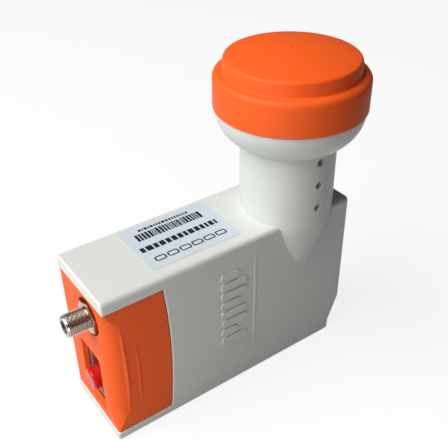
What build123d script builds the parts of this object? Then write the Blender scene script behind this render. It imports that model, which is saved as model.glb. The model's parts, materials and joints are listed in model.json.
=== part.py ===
from build123d import *
import os

# Satellite LNB with an optical-fibre output: a white case with a round neck, a flared bell under an
# orange feed cap, and an orange end cover with a threaded power connector and a capped optical port.
# Millimetres, +Z up. The origin is on the neck's axis, on the plane that the base stands on.
# -X is the connector end, +X the toe, and -Y the near side, which the neck bulges out of.

# Case: one moulding, box and neck together
case_length = 122.2
case_width = 38.3
case_height = 74.9
case_wall = 2.4
case_edge = 2.1            # radius of the upper edges
base_edge = 1.4            # radius of the lower edges
case_corner = 2.7          # radius of the toe's upright corners
end_corner = 1.0           # radius of all edges of the connector end
neck_to_toe = 25.3         # neck axis to the toe end
neck_to_near_side = 14.1   # neck axis to the near side
toe_setback = 5.2          # how far the toe is cut back at its foot
toe_kick = 5.0             # upright part of the cut-back toe
toe_height = 18.3          # where the toe's slope ends
top_lip = 5.5              # white edge above the end cover
base_lip = 4.2             # white edge below the end cover
lip_depth = 5.0            # floor behind the lower lip
opening_edge = 0.35        # rounding of the case round the end cover
side_line_from_neck = 26.3
side_line_low = 14.0
side_line_high = 66.0
side_line_bow = 0.4
side_line_back = 0.8       # width of the dip in front of the line
side_line_depth = 0.35

# Neck
neck_diameter = 40.0
neck_wall = 3.0
neck_length = 31.0         # case top to the bell's lip
foot_start = 1.5           # case top down to the start of the taper
foot_depth = 26.3          # case top down to the tip of the tapered foot
neck_hole = 3.4
neck_hole_count = 3
neck_hole_pitch = 10.5
neck_hole_drop = 2.8       # bell's lip down to the first hole
spigot_step = 1.4
spigot_height = 6.1

# Bell
bell_overhang = 0.4        # how far its lip stands proud of the neck
bell_lip = 0.8
bell_diameter = 60.6
bell_height = 15.1         # lip to the shoulder that the cap sits on
bell_wall = 2.2
bell_rim_wall = 2.8
bell_rim_height = 7.0
seal_section = 1.3
seal_lift = 3.6            # bell's shoulder up to the seal

# Feed cap
cap_overhang = 0.7         # how far it stands proud of the bell
cap_wall = 1.6
cap_skirt = 14.4
cap_shoulder_round = 2.6
cap_step = 3.7             # width of the step between its two tiers
cap_tier_height = 5.6
cap_tier_draft = 0.5
cap_tier_round = 1.5
cap_crown = 3.2
gate_mark_diameter = 1.4
gate_mark_depth = 0.25

# End cover
cover_length = 28.05       # end face to the crown of its bowed edge
cover_bow = 1.9
cover_recess = 0.4         # how far it lies below the case's outside
cover_seam = 0.35          # between it and the case
cover_wall = 2.4
cover_corner = 7.0         # radius of its near corner
cover_corner_run = 12.0    # height in which that round runs out at each end
cover_edge = 0.3
opening_round = 0.4        # edges of its hole and window
tongue_length = 4.0
tongue_thickness = 1.3
tongue_margin = 7.0
window_width = 17.0
window_height = 30.0
window_corner = 1.6
front_ridge_from_end = 7.2
front_ridge_bow = 1.0
front_ridge_back = 0.3     # width of its slope in front of the tips
front_ridge_height = 0.7
front_ridge_length = 52.0
rear_dip_from_end = 13.1
rear_dip_bow = 0.4
rear_dip_back = 0.6        # width of its slope in front of the tips
rear_dip_depth = 0.45
rear_dip_length = 31.0
rear_dip_drop = 4.8        # its middle below the front ridge's middle

# Base cover
base_thickness = 3.0
base_rim = 1.6             # case wall left round the base cover
base_stand = 3.0           # ribs and pillars between the cover and the chassis
base_rib = 2.0
base_rib_places = (0.3, 0.6)   # shares of the chassis length
base_screw_diameter = 3.0
base_screw_length = 11.0
base_screw_head = 5.6
base_screw_head_height = 1.8
base_counterbore = 2.2
base_pillar = 7.0

# Power connector
f_thread = 9.4
f_thread_length = 9.1
f_hex = 12.6
f_hex_proud = 0.6          # hex above the end face
f_hex_turn = 10.0          # degrees
f_hole = 16.4              # hole in the end cover
f_drop = 15.5              # case top down to the connector's axis
f_bore = 5.4
f_insulator_recess = 0.8
f_contact_recess = 2.4
f_contact_bore = 1.6
f_contact_diameter = 1.1
f_contact_reach = 8.0      # contact's tail past the chassis wall
f_seal_thickness = 0.8
f_seal_width = 1.4
f_chamfer = 0.5

# Optical port
port_height = 20.9         # base up to the port's axis
window_lift = 2.1          # port's axis up to the window's middle
port_thread = 8.0
port_barrel = 7.0
port_bore = 5.0
port_flange_width = 12.0
port_flange_height = 19.8
port_flange_thickness = 2.0
port_flange_corner = 1.5
port_screw_pitch = 15.0
port_screw_diameter = 2.0
port_screw_head = 3.6
port_screw_head_height = 1.2
port_screw_length = 4.0
port_body_diameter = 9.0
port_body_length = 10.0
pocket_gap = 0.4
pocket_wall = 2.0
sleeve_diameter = 3.2
sleeve_bore = 2.5
sleeve_length = 6.0
sleeve_slit = 0.4
key_width = 2.1
key_depth = 2.0
laser_base_diameter = 5.6
laser_base_thickness = 1.2
laser_can_diameter = 4.6
laser_can_length = 2.4
laser_lead = 0.45
laser_lead_pitch = 2.0
laser_lead_length = 4.5
dust_cap_diameter = 9.4
dust_cap_length = 7.6
dust_cap_end = 0.9
dust_cap_lip = 0.6
dust_cap_lip_length = 1.4
dust_cap_round = 1.0
dust_cap_proud = 1.6       # closed end beyond the end face

# Chassis with the waveguide and horn
chassis_wall = 2.2
chassis_end_wall = 3.0
chassis_end_gap = 0.4
chassis_side_gap = 1.8
chassis_top_gap = 2.0
chassis_toe_gap = 0.5
chassis_round = 1.5
guide_bore = 17.5
guide_wall = 2.0
guide_depth = 43.0         # case top down to the closed end
guide_floor = 3.0
horn_start = 31.0          # case top up to the start of the flare
horn_flare = 9.0
horn_mouth = 29.6
horn_length = 49.1         # case top up to the mouth
fin_thickness = 1.6
fin_count = 4
fin_turn = 45.0            # degrees from +X to the first fin
fin_start = 2.0            # case top up to the foot of the fins
fin_length = 26.0
gasket_thickness = 0.6
lid_thickness = 1.4
lid_screw_diameter = 2.5
lid_screw_head = 4.4
lid_screw_head_height = 1.0
lid_screw_length = 6.0
lid_boss = 5.6
scalar_floor = 1.6
scalar_wall = 1.2
scalar_ring_count = 2
scalar_height = 9.0

# Board and what stands on it
board_thickness = 0.8
board_margin = 1.0
board_notch = 14.0         # past the back of the port's pocket
board_post = 4.4
board_screw_diameter = 2.0
board_screw_head = 3.6
board_screw_head_height = 1.1
board_screw_length = 5.0
probe_diameter = 1.2
probe_tail = 4.0           # length soldered to the board
probe_reach = 5.2          # length inside the waveguide
lower_probe_lift = 8.0     # waveguide's closed end up to the probe
isolation_bar_lift = 14.1
upper_probe_lift = 20.5
isolation_bar_diameter = 1.8
bush_diameter = 3.6
shield_length = 30.0
shield_width = 24.0
shield_height = 6.0
shield_sheet = 0.5
shield_corner = 1.0
crystal_length = 11.0
crystal_width = 4.6
crystal_height = 3.6
crystal_round = 2.0
regulator_length = 10.0
regulator_width = 9.0
regulator_height = 4.4
regulator_tab_length = 5.0
regulator_tab_thickness = 1.3

# Label on the top
label_length = 42.1
label_width = 29.2
label_thickness = 0.15
label_corner = 2.2
label_from_neck = 29.4
label_from_far_edge = 3.0

# Clearances and shares
slip = 0.1                 # between pieces that slide together
seam = 0.15                # round the base cover and behind the tongues
head_gap = 0.2             # round a screw head in its counterbore
head_round = 0.4           # share of a screw head's height that is rounded
past = 1.0                 # how far a cut runs past the face that it opens
pick = 0.01                # tolerance for picking edges

# Places that follow from the sizes above
toe_x = neck_to_toe
end_x = toe_x - case_length
kick_x = toe_x - toe_setback
near_y = -neck_to_near_side
far_y = near_y + case_width
mid_y = (near_y + far_y) / 2
inner_near_y = near_y + case_wall
inner_far_y = far_y - case_wall
cover_low = base_lip
cover_high = case_height - top_lip
cover_mid_z = (cover_low + cover_high) / 2
cover_face_x = end_x + cover_recess
cover_near_y = near_y + cover_recess
cover_far_y = far_y - cover_recess
neck_radius = neck_diameter / 2
neck_bore = neck_radius - neck_wall
spigot_radius = neck_radius - spigot_step
lip_z = case_height + neck_length
spigot_z = lip_z + spigot_height
shoulder_z = lip_z + bell_height
bell_radius = bell_diameter / 2
bell_lip_radius = neck_radius + bell_overhang
bowl_z = lip_z + bell_lip
bowl_reach = bell_radius - bell_lip_radius
bowl_rise = shoulder_z - bowl_z
bowl_round = (bowl_reach ** 2 + bowl_rise ** 2) / (2 * bowl_reach)
bowl_centre = bell_radius - bowl_round
cap_radius = bell_radius + cap_overhang
cap_inner = cap_radius - cap_wall
rim_radius = cap_inner - slip
f_y = 0.0
f_z = case_height - f_drop
f_face_x = end_x - f_hex_proud
port_y = mid_y
port_z = port_height
chassis_x = cover_face_x + cover_wall + chassis_end_gap
chassis_toe_x = kick_x - case_wall - chassis_toe_gap
chassis_y = inner_near_y + chassis_side_gap
lid_head_y = inner_far_y - chassis_side_gap
lid_y = lid_head_y - lid_screw_head_height - lid_thickness
rim_y = lid_y - gasket_thickness
chassis_z = base_thickness + base_stand
chassis_top = case_height - case_wall - chassis_top_gap
port_tip_x = end_x - dust_cap_proud + dust_cap_end + slip
port_face_x = port_tip_x + port_barrel
port_seat_x = port_face_x + port_flange_thickness
guide_radius = guide_bore / 2
guide_outer = guide_radius + guide_wall
guide_z = case_height - guide_depth
horn_radius = horn_mouth / 2
horn_outer = horn_radius + guide_wall
horn_z = case_height + horn_length
board_y = f_y + f_contact_diameter / 2
board_back_y = board_y + board_thickness
board_x = chassis_x + chassis_end_wall + board_margin
board_toe_x = -guide_outer - board_margin
board_z = chassis_z + chassis_wall + board_margin
board_top = chassis_top - chassis_wall - board_margin
notch_x = port_seat_x + pocket_wall + board_notch
lower_probe_y = board_y - probe_diameter / 2
lower_probe_z = guide_z + lower_probe_lift
isolation_bar_z = guide_z + isolation_bar_lift
upper_probe_z = guide_z + upper_probe_lift
upper_run_y = (guide_outer + rim_y) / 2


def block(x, y, z):
    """A block between the two ends given for each axis."""
    spans = (x, y, z)
    centre = [(low + high) / 2 for low, high in spans]
    return Pos(*centre) * Box(*[high - low for low, high in spans])


def rod(start, end, diameter):
    """A round rod from one point to another."""
    run = Vector(*end) - Vector(*start)
    upright = (Align.CENTER, Align.CENTER, Align.MIN)
    return Plane(origin=start, z_dir=run) * Cylinder(diameter / 2, run.length, align=upright)


def turned(points):
    """A solid turned about the neck's axis from (radius, height) points."""
    return revolve(Plane.XZ * make_face(Polyline(*points, close=True)), Axis.Z)


def turned_along(points, y, z):
    """A solid turned about an axis along X from (x, radius) points."""
    return Pos(0, y, z) * revolve(make_face(Polyline(*points, close=True)), Axis.X)


def across(outline, y0, y1):
    """Extrudes an (x, z) outline across the case."""
    return extrude(Plane.XZ.offset(-y0) * outline, amount=y0 - y1)


def along(outline, x0, x1):
    """Extrudes a (y, z) outline along the case."""
    return extrude(Plane.YZ.offset(x0) * outline, amount=x1 - x0)


def rounded(face, corner, radius):
    """Rounds one corner of an outline."""
    return fillet(face.vertices().sort_by_distance(corner)[0], radius)


def screw(place, direction, diameter, length, head, head_height):
    """A pan-head screw: place is under the head, and direction is the way that it goes in."""
    shank = Cylinder(diameter / 2, length, align=(Align.CENTER, Align.CENTER, Align.MIN))
    top = Cylinder(head / 2, head_height, align=(Align.CENTER, Align.CENTER, Align.MAX))
    top = fillet(top.edges().sort_by(Axis.Z)[0], head_height * head_round)
    return Plane(origin=place, z_dir=direction) * (shank + top)


def case_outline(inset=0.0):
    """Side outline of the case with its cut-back toe."""
    outline = make_face(Polyline(
        (end_x, 0), (kick_x, 0), (kick_x, toe_kick), (toe_x, toe_height),
        (toe_x, case_height), (end_x, case_height), close=True))
    if inset:
        outline = offset(outline, -inset, kind=Kind.INTERSECTION)
    return outline


def case_block():
    """The case as a full block with rounded corners and edges."""
    solid = across(case_outline(), near_y, far_y)
    half = case_width / 2
    side_edges = [e for e in solid.edges() if abs(abs(e.center().Y - mid_y) - half) < pick]
    toe_corners = [e for e in side_edges if e.center().X > 0 and abs((e @ 1 - e @ 0).Z) > pick]
    solid = fillet(toe_corners, case_corner)
    for level, radius in ((-1, case_edge), (0, base_edge)):
        rim = solid.faces().sort_by(Axis.Z)[level].edges()
        solid = fillet(rim.filter_by(lambda edge: edge.center().X > end_x + pick), radius)
    return fillet(solid.faces().sort_by(Axis.X)[0].edges(), end_corner)


def neck_form(inset, top):
    """The neck and its tapered foot, which dies out on the near side."""
    taper = (neck_radius - neck_to_near_side) / (foot_depth - foot_start)
    run_in = case_wall / taper
    low_z = case_height - foot_depth - run_in
    return turned([
        (0, low_z), (neck_to_near_side - case_wall - inset, low_z),
        (neck_radius - inset, case_height - foot_start), (neck_radius - inset, top), (0, top)])


def cover_place(gap, start_x):
    """Side outline of the end cover: square end and a bowed inner edge."""
    low = cover_low + gap
    high = cover_high - gap
    crown = end_x + cover_length - gap
    edge = ThreePointArc((crown - cover_bow, low), (crown, cover_mid_z), (crown - cover_bow, high))
    rest = Polyline((crown - cover_bow, high), (start_x, high), (start_x, low), (crown - cover_bow, low))
    return make_face(Curve() + [edge, rest])


def inside_cover(gap):
    """Room inside the end cover's walls, with rounded end corners."""
    start_x = cover_face_x + cover_wall + gap
    room = block((start_x, toe_x), (inner_near_y + gap, inner_far_y - gap), (0, case_height))
    return fillet(room.edges().filter_by(Axis.Z).sort_by(Axis.X)[:2], cover_corner - cover_wall - gap)


def base_plate(gap, z):
    """Plate that fills the underside, its toe corners rounded along with the case's."""
    inset = base_rim + gap
    plate = block((end_x + lip_depth + gap, kick_x - inset), (near_y + inset, far_y - inset), z)
    return fillet(plate.edges().filter_by(Axis.Z).sort_by(Axis.X)[-2:], case_corner - inset)


def crescent(tip_x, bow, back, low, high):
    """Outline of a crescent on the side, bowed towards the toe, with its tips at the two heights."""
    middle = (low + high) / 2
    return make_face(Curve() + [
        ThreePointArc((tip_x, low), (tip_x + bow, middle), (tip_x, high)),
        ThreePointArc((tip_x, high), (tip_x - back, middle), (tip_x, low))])


def sloped(outline, start, end, y):
    """The near-side crescent between a slope, from one (x, y) point to another, and the level y."""
    section = Polyline(start, end, (end[0], y), (start[0], y), close=True)
    return extrude(make_face(section), amount=case_height) & across(outline, near_y - past, mid_y)


def both_sides(form):
    """A near-side form together with its mirror image on the far side."""
    return form + mirror(form, Plane.XZ.offset(-mid_y))


def base_screw_places():
    """Places of the base screws, under the chassis corners."""
    inset = base_pillar / 2 + chassis_wall
    back_x = port_seat_x + pocket_wall + inset
    return [(x, y) for x in (back_x, chassis_toe_x - inset) for y in (chassis_y + inset, rim_y - inset)]


def lid_screw_places():
    """Places of the lid screws: the corners and the middle of the long sides."""
    inset = chassis_wall + lid_boss / 4
    xs = (chassis_x + chassis_end_wall + lid_boss / 4, (chassis_x + board_toe_x) / 2, chassis_toe_x - inset)
    return [(x, z) for x in xs for z in (chassis_z + inset, chassis_top - inset)]


def board_screw_places():
    """Places of the board's screws."""
    inset = board_post / 2 + board_margin
    low = [(board_toe_x - inset, board_z + lid_boss), (notch_x + inset, board_z + lid_boss)]
    high = [(x, board_top - lid_boss) for x in (board_x + lid_boss + inset, board_toe_x - inset)]
    return low + high


def side_line():
    """Shallow dip down the middle of the side, which ends in a fine bowed line."""
    tip_x = -side_line_from_neck - side_line_bow
    outline = crescent(tip_x, side_line_bow, side_line_back, side_line_low, side_line_high)
    return sloped(outline, (tip_x - side_line_back, near_y),
                  (tip_x + side_line_bow, near_y + side_line_depth), near_y - past)


def opening_edges(case):
    """Outer edges of the case round the end cover."""
    def is_outer(edge):
        place = edge.center()
        return abs(place.Y - mid_y) > case_width / 2 - pick or place.X < end_x + end_corner / 2

    def is_on_opening(edge):
        place = edge.center()
        gaps = (place.Z - cover_low, place.Z - cover_high, place.X - end_x - cover_length)
        return min(abs(gap) for gap in gaps) < pick

    return case.edges().filter_by(is_outer).filter_by(is_on_opening)


def make_main_housing():
    """Case and neck in one moulding, open at the connector end and underneath."""
    solid = case_block() + neck_form(0, lip_z)
    solid += turned([
        (0, lip_z - past), (spigot_radius, lip_z - past), (spigot_radius, spigot_z), (0, spigot_z)])
    solid -= both_sides(side_line())
    solid -= across(case_outline(case_wall), inner_near_y, inner_far_y)
    solid -= neck_form(neck_wall, spigot_z + past)
    # Room for the waveguide where the near wall comes close to it
    solid -= rod((0, 0, guide_z - guide_floor - slip), (0, 0, case_height), 2 * (guide_outer + slip))
    solid -= across(cover_place(0, end_x - past), near_y - past, far_y + past)
    solid = fillet(opening_edges(solid), opening_edge)
    solid -= base_plate(0, (-past, base_thickness))
    for index in range(neck_hole_count):
        height = lip_z - neck_hole_drop - index * neck_hole_pitch
        solid -= rod((0, -neck_radius - past, height), (0, 0, height), neck_hole)
    return solid


def bowl_point(radius, thickness):
    """Point of the bell's round flare at a radius, on its outside or inside its wall."""
    drop = ((bowl_round - thickness) ** 2 - (radius - bowl_centre) ** 2) ** 0.5
    return (radius, shoulder_z - drop)


def bowl_inside(height):
    """Radius of the bell's inside at a height."""
    return bowl_centre + ((bowl_round - bell_wall) ** 2 - (shoulder_z - height) ** 2) ** 0.5


def make_head_bell():
    """Bowl that flares from the neck to the cap, with a collar over the neck's spigot."""
    collar_radius = spigot_radius + slip
    rim_inner = rim_radius - bell_rim_wall
    outer_mid = bowl_point((bell_lip_radius + bell_radius) / 2, 0)
    inner_high = bowl_point(rim_inner, bell_wall)
    inner_low = bowl_point(bell_lip_radius, bell_wall)
    inner_mid = bowl_point((rim_inner + bell_lip_radius) / 2, bell_wall)
    rim_z = shoulder_z + bell_rim_height
    outline = Curve() + [
        Polyline((collar_radius, lip_z), (bell_lip_radius, lip_z), (bell_lip_radius, bowl_z)),
        ThreePointArc((bell_lip_radius, bowl_z), outer_mid, (bell_radius, shoulder_z)),
        Polyline((bell_radius, shoulder_z), (rim_radius, shoulder_z), (rim_radius, rim_z),
                 (rim_inner, rim_z), inner_high),
        ThreePointArc(inner_high, inner_mid, inner_low),
        Polyline(inner_low, (bell_lip_radius, spigot_z), (collar_radius, spigot_z), (collar_radius, lip_z))]
    bowl = revolve(Plane.XZ * make_face(outline), Axis.Z)
    low = shoulder_z + seal_lift - seal_section / 2 - slip
    high = shoulder_z + seal_lift + seal_section / 2 + slip
    floor = rim_radius - seal_section
    return bowl - turned([(floor, low), (cap_radius, low), (cap_radius, high), (floor, high)])


def make_feed_cap():
    """Two-tier cap with a crowned top and a small gate mark in its middle."""
    def outline(inset):
        side = cap_radius - inset
        tier = side - cap_step
        rim = tier - cap_tier_draft
        step_z = shoulder_z + cap_skirt - inset
        rim_z = step_z + cap_tier_height
        top_z = rim_z + cap_crown
        crown_radius = (rim ** 2 + cap_crown ** 2) / (2 * cap_crown)
        mid_z = top_z - crown_radius + (crown_radius ** 2 - (rim / 2) ** 2) ** 0.5
        face = make_face(Curve() + [
            Polyline((0, shoulder_z), (side, shoulder_z), (side, step_z), (tier, step_z), (rim, rim_z)),
            ThreePointArc((rim, rim_z), (rim / 2, mid_z), (0, top_z)),
            Line((0, top_z), (0, shoulder_z))])
        face = rounded(face, (side, step_z), cap_shoulder_round - inset / 2)
        return rounded(face, (rim, rim_z), cap_tier_round - inset / 2)

    solid = revolve(Plane.XZ * outline(0), Axis.Z) - revolve(Plane.XZ * outline(cap_wall), Axis.Z)
    top_z = shoulder_z + cap_skirt + cap_tier_height + cap_crown
    return solid - rod((0, 0, top_z - gate_mark_depth), (0, 0, top_z + past), gate_mark_diameter)


def make_feed_cap_seal():
    """O-ring in the bell's groove."""
    ring_radius = rim_radius + slip / 2 - seal_section / 2
    return Pos(0, 0, shoulder_z + seal_lift) * Torus(ring_radius, seal_section / 2)


def corner_drop(x):
    """How far the end cover's rounded corner has fallen away from its side."""
    run = max(0, cover_face_x + cover_corner - x)
    return cover_corner - (cover_corner ** 2 - run ** 2) ** 0.5


def corner_waste():
    """What the end cover's near corner loses to its round, which runs out into the corner at both ends."""
    low = cover_low + cover_seam
    high = cover_high - cover_seam
    corner_reach = cover_corner * 2 ** 0.5
    round_low = (cover_corner, low + cover_corner_run)
    round_high = (cover_corner, high - cover_corner_run)
    outline = Curve() + [
        TangentArc(round_low, (corner_reach, low), tangent=(0, -1)),
        Line(round_low, round_high),
        TangentArc(round_high, (corner_reach, high), tangent=(0, 1)),
        Polyline((corner_reach, high), (0, high), (0, low), (corner_reach, low))]
    core = revolve(Plane.XZ * make_face(outline), Axis.Z)
    core_x = cover_face_x + cover_corner
    core_y = cover_near_y + cover_corner
    corner = block((cover_face_x - past, core_x), (cover_near_y - past, core_y), (low, high))
    return corner - Pos(core_x, core_y, 0) * core


def front_ridge():
    """Raised crescent where the end cover's rounded corner runs out into its side."""
    tip_x = end_x + front_ridge_from_end - front_ridge_bow
    reach = front_ridge_length / 2
    outline = crescent(tip_x, front_ridge_bow, front_ridge_back, cover_mid_z - reach, cover_mid_z + reach)
    start_x = tip_x - front_ridge_back
    return sloped(outline, (start_x, cover_near_y + corner_drop(start_x)),
                  (tip_x + front_ridge_bow, cover_near_y - front_ridge_height), inner_near_y)


def rear_dip():
    """Sunk crescent behind the raised one."""
    tip_x = end_x + rear_dip_from_end - rear_dip_bow
    reach = rear_dip_length / 2
    middle_z = cover_mid_z - rear_dip_drop
    outline = crescent(tip_x, rear_dip_bow, rear_dip_back, middle_z - reach, middle_z + reach)
    return sloped(outline, (tip_x - rear_dip_back, cover_near_y),
                  (tip_x + rear_dip_bow, cover_near_y + rear_dip_depth), near_y - past)


def make_end_cover():
    """Cover wrapped round the connector end, with a hole and a window for the two connectors."""
    solid = across(cover_place(cover_seam, cover_face_x), cover_near_y, cover_far_y)
    solid = fillet(solid.edges().filter_by(Axis.Z).sort_by(Axis.X)[:2], end_corner)
    edges = solid.edges()
    hidden_edges = edges.filter_by(Axis.Y).sort_by(Axis.X)[-2:]
    solid = fillet(edges - edges.filter_by(Axis.Z) - hidden_edges, cover_edge)
    solid -= corner_waste()
    solid -= inside_cover(0)
    solid += both_sides(front_ridge())
    solid -= both_sides(rear_dip())
    edge_x = end_x + cover_length
    heights = (cover_low + tongue_margin, cover_high - tongue_margin)
    for wing_y, inward in ((inner_near_y, 1), (inner_far_y, -1)):
        root = sorted((wing_y - inward * case_wall / 2, wing_y + inward * (seam + tongue_thickness)))
        lap = sorted((wing_y + inward * seam, wing_y + inward * (seam + tongue_thickness)))
        root_x = edge_x - cover_bow - tongue_length
        solid += block((root_x, edge_x - cover_bow - 2 * seam), root, heights)
        solid += block((root_x, edge_x + tongue_length), lap, heights)
    solid -= rod((end_x - past, f_y, f_z), (chassis_x, f_y, f_z), f_hole)
    window = Pos(port_y, port_z + window_lift) * RectangleRounded(window_width, window_height, window_corner)
    solid -= along(window, end_x - past, chassis_x)
    openings = solid.faces().sort_by(Axis.X)[0].inner_wires()
    return fillet(openings.edges(), opening_round)


def make_base_cover():
    """Plate let into the underside, with ribs and pillars that carry the chassis."""
    solid = base_plate(seam, (0, base_thickness))
    for share in base_rib_places:
        rib_x = chassis_x + share * (chassis_toe_x - chassis_x)
        solid += block((rib_x - base_rib / 2, rib_x + base_rib / 2),
                       (chassis_y + chassis_wall, rim_y - chassis_wall), (base_thickness, chassis_z))
    for x, y in base_screw_places():
        solid += rod((x, y, base_thickness), (x, y, chassis_z), base_pillar)
        solid -= rod((x, y, -past), (x, y, chassis_z + past), base_screw_diameter + 2 * slip)
        solid -= rod((x, y, -past), (x, y, base_counterbore), base_screw_head + 2 * head_gap)
    return solid


def make_base_screws():
    return Compound([
        screw((x, y, base_counterbore), (0, 0, 1), base_screw_diameter, base_screw_length,
              base_screw_head, base_screw_head_height) for x, y in base_screw_places()])


def make_f_connector_body():
    """Threaded barrel with its hex, turned from one piece."""
    outer = f_thread / 2
    tip_x = f_face_x - f_thread_length
    back_x = chassis_x + chassis_end_wall
    seat_x = chassis_x - f_seal_thickness
    solid = turned_along([
        (tip_x, 0), (tip_x, outer - f_chamfer), (tip_x + f_chamfer, outer), (back_x, outer), (back_x, 0)],
        f_y, f_z)
    hexagon = RegularPolygon(f_hex / 2, 6, major_radius=False, rotation=f_hex_turn)
    solid += along(Pos(f_y, f_z) * hexagon, f_face_x, seat_x)
    return solid - rod((tip_x - past, f_y, f_z), (back_x + past, f_y, f_z), f_bore)


def make_f_connector_insulator():
    tip_x = f_face_x - f_thread_length + f_insulator_recess
    back_x = chassis_x + chassis_end_wall
    solid = rod((tip_x, f_y, f_z), (back_x, f_y, f_z), f_bore - 2 * slip)
    return solid - rod((tip_x - past, f_y, f_z), (back_x + past, f_y, f_z), f_contact_bore)


def make_f_connector_contact():
    """Spring contact in the insulator, with a tail that lies on the board."""
    tip_x = f_face_x - f_thread_length + f_contact_recess
    back_x = chassis_x + chassis_end_wall
    tube = rod((tip_x, f_y, f_z), (back_x, f_y, f_z), f_contact_bore - slip)
    tube -= rod((tip_x - past, f_y, f_z), (tip_x + f_thread_length / 2, f_y, f_z), f_contact_diameter)
    return tube + rod((back_x - past, f_y, f_z), (back_x + f_contact_reach, f_y, f_z), f_contact_diameter)


def make_f_connector_seal():
    inner = f_thread + 2 * slip
    ends = ((chassis_x - f_seal_thickness, f_y, f_z), (chassis_x, f_y, f_z))
    return rod(*ends, inner + 2 * f_seal_width) - rod(*ends, inner)


def make_optical_receptacle():
    """Threaded barrel, screwed flange and rear tube of the optical port."""
    solid = rod((port_tip_x, port_y, port_z), (port_seat_x, port_y, port_z), port_thread)
    flange = RectangleRounded(port_flange_width, port_flange_height, port_flange_corner)
    solid += along(Pos(port_y, port_z) * flange, port_face_x, port_seat_x)
    back_x = port_seat_x + port_body_length
    solid += rod((port_seat_x, port_y, port_z), (back_x, port_y, port_z), port_body_diameter)
    solid -= rod((port_tip_x - past, port_y, port_z), (port_tip_x + key_depth, port_y, port_z), port_bore)
    solid -= rod((port_tip_x, port_y, port_z), (back_x + past, port_y, port_z), sleeve_diameter + slip)
    can_x = back_x - laser_can_length - slip
    solid -= rod((can_x, port_y, port_z), (back_x + past, port_y, port_z), laser_can_diameter + 2 * slip)
    solid -= block((port_tip_x - past, port_tip_x + key_depth),
                   (port_y - key_width / 2, port_y + key_width / 2), (port_z, port_z + port_thread))
    for side in (-1, 1):
        height = port_z + side * port_screw_pitch / 2
        solid -= rod((port_face_x - past, port_y, height), (port_seat_x + past, port_y, height),
                     port_screw_diameter + 2 * slip)
    return solid


def make_receptacle_screws():
    return Compound([
        screw((port_face_x, port_y, port_z + side * port_screw_pitch / 2), (1, 0, 0), port_screw_diameter,
              port_screw_length, port_screw_head, port_screw_head_height) for side in (-1, 1)])


def make_alignment_sleeve():
    """Slit ceramic sleeve that lines the two fibre ends up."""
    start = port_tip_x + key_depth + slip
    ends = ((start, port_y, port_z), (start + sleeve_length, port_y, port_z))
    solid = rod(*ends, sleeve_diameter) - rod(*ends, sleeve_bore)
    slit = (port_y - sleeve_slit / 2, port_y + sleeve_slit / 2)
    return solid - block((start - past, start + sleeve_length + past), slit,
                         (port_z, port_z + sleeve_diameter))


def make_laser_diode():
    """Round can on its base, with three leads."""
    back_x = port_seat_x + port_body_length
    base_back = back_x + laser_base_thickness
    solid = rod((back_x, port_y, port_z), (base_back, port_y, port_z), laser_base_diameter)
    solid += rod((back_x - laser_can_length, port_y, port_z), (back_x, port_y, port_z), laser_can_diameter)
    for side in (-1, 0, 1):
        height = port_z + side * laser_lead_pitch
        solid += rod((base_back, port_y, height), (base_back + laser_lead_length, port_y, height), laser_lead)
    return solid


def make_dust_cap():
    """Soft cap pushed over the port's thread, with a lip to pull it by."""
    tip_x = end_x - dust_cap_proud
    mouth_x = tip_x + dust_cap_length
    outer = dust_cap_diameter / 2
    inner = port_thread / 2 + slip / 2
    lip_x = mouth_x - dust_cap_lip_length
    face = make_face(Polyline(
        (tip_x, 0), (tip_x, outer), (lip_x, outer), (lip_x, outer + dust_cap_lip),
        (mouth_x, outer + dust_cap_lip), (mouth_x, inner), (tip_x + dust_cap_end, inner),
        (tip_x + dust_cap_end, 0), close=True))
    face = rounded(face, (tip_x, outer), dust_cap_round)
    return Pos(0, port_y, port_z) * revolve(face, Axis.X)


def horn_form():
    """Waveguide tube closed below, with a flared mouth and fins that centre it in the neck."""
    start_z = case_height + horn_start
    flare_z = start_z + horn_flare
    tube = turned([
        (0, guide_z - guide_floor), (guide_outer, guide_z - guide_floor), (guide_outer, start_z),
        (horn_outer, flare_z), (horn_outer, horn_z), (0, horn_z)])
    fin_z = case_height + fin_start
    fin = block((guide_radius, neck_bore - slip), (-fin_thickness / 2, fin_thickness / 2),
                (fin_z, fin_z + fin_length))
    for index in range(fin_count):
        tube += Rot(0, 0, fin_turn + index * 360 / fin_count) * fin
    return tube


def horn_bore():
    start_z = case_height + horn_start
    return turned([
        (0, guide_z), (guide_radius, guide_z), (guide_radius, start_z),
        (horn_radius, horn_z), (horn_radius, horn_z + past), (0, horn_z + past)])


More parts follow.
